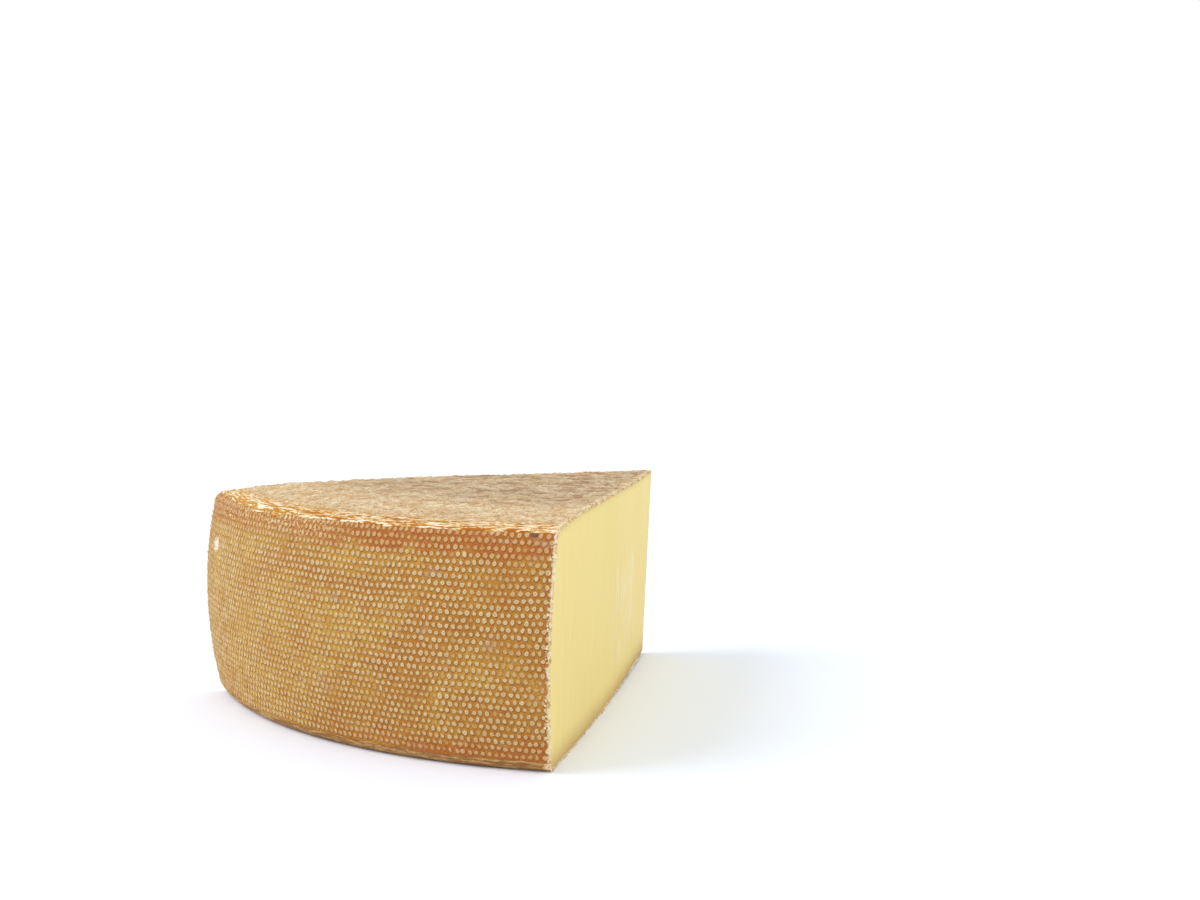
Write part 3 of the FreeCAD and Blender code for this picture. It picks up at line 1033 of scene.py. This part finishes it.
def face_material(name, colours):
    """Rind of a face. colours holds all that the upper and the lower face don't share."""
    paint = Material(name, 0.7, 0.3)
    place, along, from_cut = paint.attribute("walk")
    folds, streaks, crumb = paint.attribute("marks")
    grain = paint.noise(paint.stretched(1.0, 1.0, 1.0), detail=3)
    border = paint.noise(paint.stretched(10, 10, 10), detail=3, distortion=0.8)
    brushed = paint.noise(paint.walked(4.5, 0.75), detail=4, distortion=0.9)
    rubbed = streaks * 0.5 + brushed + grain * 0.2
    gold, left_gold, middle, crest = colours["streak"]
    hollow = paint.mix(paint.fade(place, 20, -80), gold, left_gold)
    streaky = paint.mix(paint.fade(rubbed, 0.76, 0.88), hollow, middle)
    streaky = paint.mix(paint.fade(rubbed, 0.89, 0.96), streaky, crest)
    start, end = colours["rim"]
    on_rim = paint.fade(along + (border - 0.5) * (start - end) * 2, start, end)
    on_rim = on_rim * (0.6 + 0.4 * paint.fade(along, start - 2, end - 4))
    colour = wrinkled(paint, along, folds, grain, colours)
    colour = paint.mix(on_rim, colour, streaky)
    tooth = paint.mix(paint.fade(crumb + grain, 0.2, 0.7), TOOTH, PALE_TOOTH)
    colour = paint.mix(paint.fade(from_cut + border * 6, 6.5, 3.5), colour, tooth)
    return paint.wear(colour, 0.62 + 0.25 * grain, grain)


top.data.materials.append(face_material("top_rind", {
    "furrow": rgb(164, 114, 60),
    "cushion": rgb(226, 197, 150),
    "crest": rgb(244, 228, 194),
    "gold": rgb(216, 166, 88),
    # where the painted shade towards the point starts and where it is full
    "far_shade": (TOP_START + 32, TOP_START + 90),
    "rim": (TOP_START + 17, TOP_START + 9),
    "streak": (rgb(182, 110, 24), rgb(202, 144, 56), rgb(224, 172, 76), rgb(252, 243, 216)),
}))
foot.data.materials.append(face_material("foot_rind", {
    "furrow": rgb(150, 108, 66),
    "cushion": rgb(196, 158, 108),
    "crest": rgb(216, 188, 144),
    "gold": rgb(190, 140, 78),
    # where the painted shade towards the point starts and where it is full
    "far_shade": (FOOT_FLAT - 25, FOOT_FLAT - 75),
    "rim": (FOOT_FLAT - 4, FOOT_FLAT + 1),
    "streak": (rgb(150, 106, 60), rgb(158, 116, 66), rgb(172, 130, 78), rgb(200, 164, 112)),
}))

# %% [markdown]
# ### Torn rind
#
# Torn rind shows its inside, which is pale and crumbling, with ochre in the hollows.

# %% Material of beads and crumbs
HOLLOW, CRUMB = rgb(206, 158, 84), rgb(246, 234, 202)

paint = Material("torn_rind", 0.75, 0.25)
lumps = paint.noise(paint.stretched(1.6, 1.6, 1.6), detail=3)
colour = paint.mix(paint.fade(lumps, 0.35, 0.58), HOLLOW, CRUMB)
torn_material = paint.wear(colour)
torn_edges.data.materials.append(torn_material)
crumbs.data.materials.append(torn_material)

# %% [markdown]
# ## Floor and light
#
# The cheese stands on a white sweep that has no horizon. The floor is a plain grey-white sheet to
# all light, so it keeps the shadow, but the camera sees it a little over white: then all of it
# but the shadow reaches full white without more light on the cheese. The camera's colour is
# also a little blue, because the cheese throws yellow light on the floor beside it.

# %% Lay the floor
FLOOR_REACH = 6.0                      # half a side, in metres
PLAIN_FLOOR, SEEN_FLOOR = (0.95, 0.95, 0.95, 1), (1.05, 1.12, 1.26, 1)

floor_data = bpy.data.meshes.new("floor")
floor_mesh = bmesh.new()
bmesh.ops.create_grid(floor_mesh, x_segments=1, y_segments=1, size=FLOOR_REACH)
floor_mesh.to_mesh(floor_data)
floor_mesh.free()
floor = bpy.data.objects.new("floor", floor_data)
bpy.context.scene.collection.objects.link(floor)
floor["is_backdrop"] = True
paint = Material("floor", 0.9, 0.2)
seen = paint.node("ShaderNodeLightPath")("Is Camera Ray")
floor_data.materials.append(paint.wear(paint.mix(seen, PLAIN_FLOOR, SEEN_FLOOR)))

# %% [markdown]
# The light is that of a bright white studio: most of it comes evenly from the whole sky, and two
# wide, soft suns from the left and the right give the forms a bright and a less bright side.
# The sky itself is full white wherever it is looked at, or mirrored.

# %% Light the sky
SKY = 0.71
world = bpy.data.worlds.new("world")
world.use_nodes = True
bpy.context.scene.world = world
sky = Nodes(world.node_tree)
rays = sky.node("ShaderNodeLightPath")
looked_at = rays("Is Camera Ray").highest(rays("Is Glossy Ray"))
looked_at = looked_at.highest(rays("Is Transmission Ray"))
sky.tree.nodes["Background"].inputs["Color"].default_value = (1, 1, 1, 1)
sky.feed("Background", "Strength", SKY + (1 - SKY) * looked_at)
print("The sky shines at", SKY, "of white")

# %% Hang two soft suns
LAMPS = {                              # (turn from the band's middle, height), strength, softness
    "key": (-40, 42, 1.2, 40),
    "fill": (95, 8, 0.8, 60),
}

for name, (turn, climb, energy, softness) in LAMPS.items():
    lamp = bpy.data.objects.new(name, bpy.data.lights.new(name, "SUN"))
    bpy.context.scene.collection.objects.link(lamp)
    lamp.data.energy, lamp.data.angle = energy, radians(softness)
    turn, climb = radians(turn), radians(climb)
    towards = Vector((sin(turn) * cos(climb), -cos(turn) * cos(climb), sin(climb)))
    lamp.matrix_world = towards.to_track_quat("Z", "Y").to_matrix().to_4x4()
    print(f"{name}: strength {energy}, {softness} degrees wide")

bpy.context.scene.view_settings.view_transform = "Standard"

# %% [markdown]
# ## Measure
#
# The box round the finished cheese and the box of the plain solid are both measured and printed.
# Rind, nubs and beads stand out a little, by less than a millimetre on any side.

# %% Measure and finish
visual_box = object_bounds()
boxes = {"cad": [list(corner) for corner in cad_box], "visual": [list(corner) for corner in visual_box]}
for name, (lowest, highest) in boxes.items():
    print(name, [round((b - a) / MM, 1) for a, b in zip(lowest, highest)], "mm")
